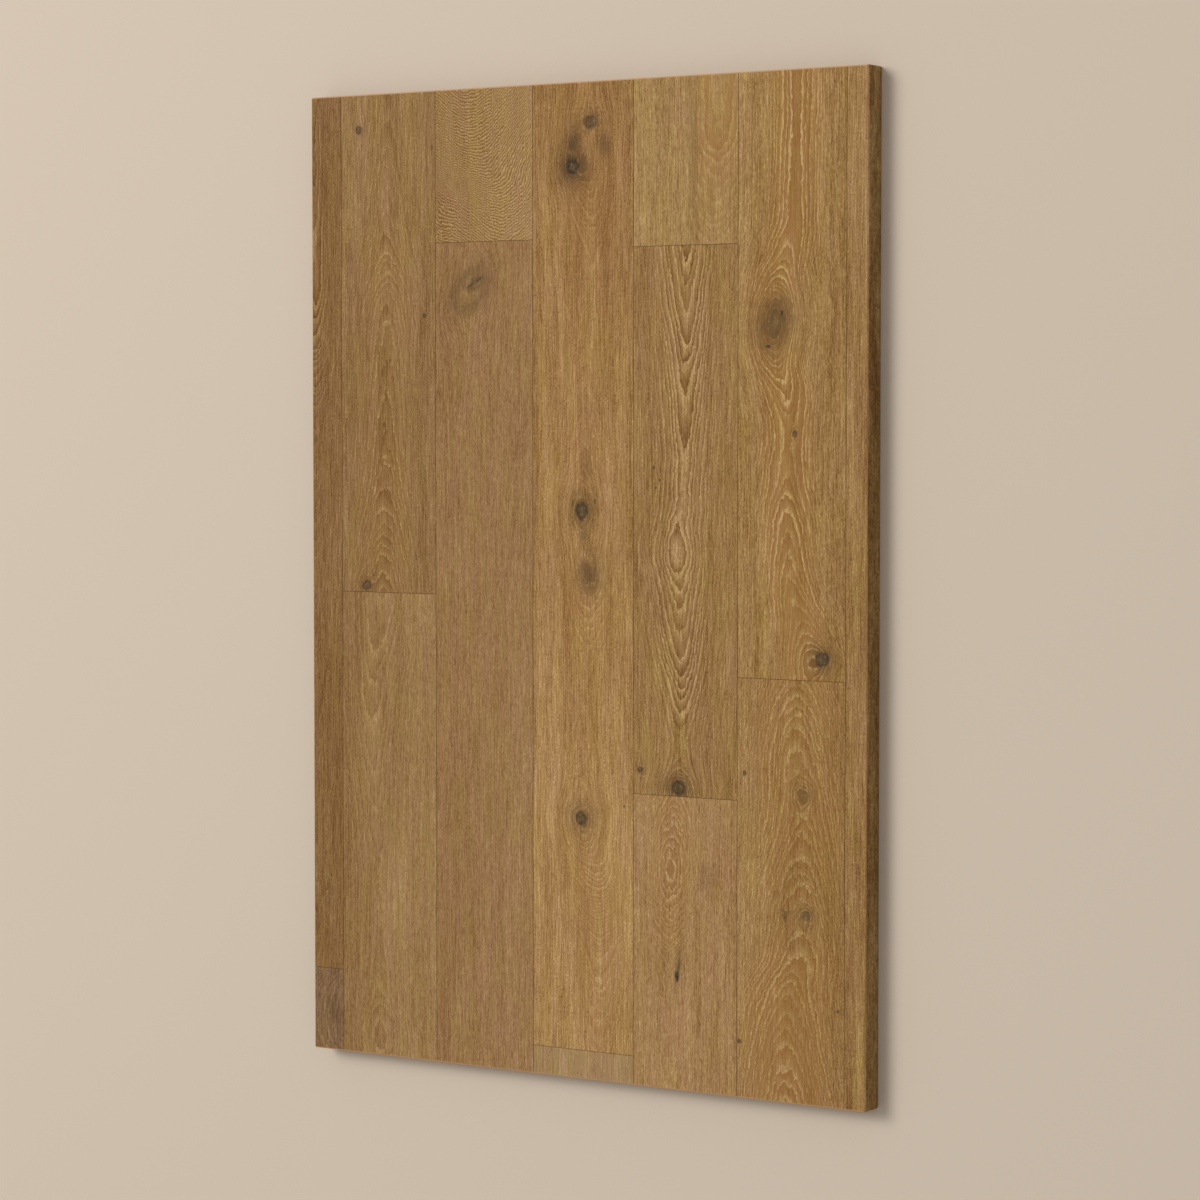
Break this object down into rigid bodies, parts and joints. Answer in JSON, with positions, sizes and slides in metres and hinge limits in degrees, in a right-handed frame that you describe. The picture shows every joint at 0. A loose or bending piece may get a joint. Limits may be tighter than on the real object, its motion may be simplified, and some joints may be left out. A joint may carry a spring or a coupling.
{
  "type": "parquet floor panel",
  "caption": "Rectangular parquet floor panel of tongued and grooved solid oak strips glued in staggered rows, trimmed square, with eased edges and a brushed, knotty face.",
  "frame": {"origin": "middle of the panel's back, on the plane that it lies on", "axes": "+X across the rows of strips, +Y along the grain, +Z out of the face"},
  "size_m": [0.607, 0.91, 0.023],
  "materials": {
    "oak_golden": "brushed and oiled, satin",
    "oak_straw": "brushed and oiled, satin",
    "oak_tan": "brushed and oiled, satin",
    "oak_rose_brown": "brushed and oiled, satin",
    "oak_brown": "brushed and oiled, satin",
    "oak_grey_brown": "brushed and oiled, satin"
  },
  "bodies": {
    "root": {"row1_strip1": "oak_grey_brown", "row1_strip2": "oak_brown", "row2_strip1": "oak_tan", "row2_strip2": "oak_tan", "row3_strip1": "oak_rose_brown", "row3_strip2": "oak_straw", "row4_strip1": "oak_grey_brown", "row4_strip2": "oak_golden", "row5_strip1": "oak_rose_brown", "row5_strip2": "oak_brown", "row5_strip3": "oak_straw", "row6_strip1": "oak_golden", "row6_strip2": "oak_golden", "row7_strip1": "oak_golden"}
  },
  "joints": []
}
